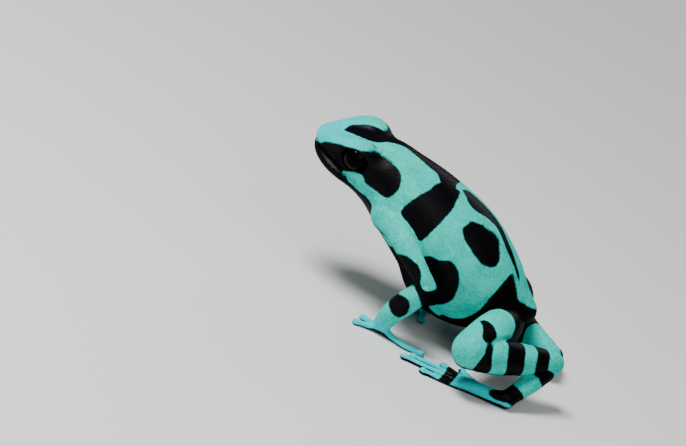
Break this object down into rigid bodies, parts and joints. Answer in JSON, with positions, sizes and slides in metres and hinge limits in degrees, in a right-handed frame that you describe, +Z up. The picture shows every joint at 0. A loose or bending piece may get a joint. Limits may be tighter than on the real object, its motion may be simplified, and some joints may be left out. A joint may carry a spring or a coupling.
{
  "type": "green and black poison dart frog",
  "caption": "Life-size still model of a green and black poison dart frog sitting with its head raised, one foreleg set forward and its hind legs folded.",
  "frame": {"origin": "On the ground under the middle of the frog.", "axes": "+Z is up. The frog looks along -X, and its left side is at -Y."},
  "size_m": [0.0422, 0.0339, 0.0222],
  "materials": {
    "skin": "moist, finely grained, turquoise with black blotches",
    "eyes": "glossy, near black"
  },
  "bodies": {
    "root": {"head": "skin", "torso": "skin", "eye_left": "eyes", "eye_right": "eyes", "upper_arm_left": "skin", "forearm_left": "skin", "hand_left": "skin", "thigh_left": "skin", "shank_left": "skin", "tarsus_left": "skin", "foot_left": "skin", "upper_arm_right": "skin", "forearm_right": "skin", "hand_right": "skin", "thigh_right": "skin", "shank_right": "skin", "tarsus_right": "skin", "foot_right": "skin"}
  },
  "joints": []
}
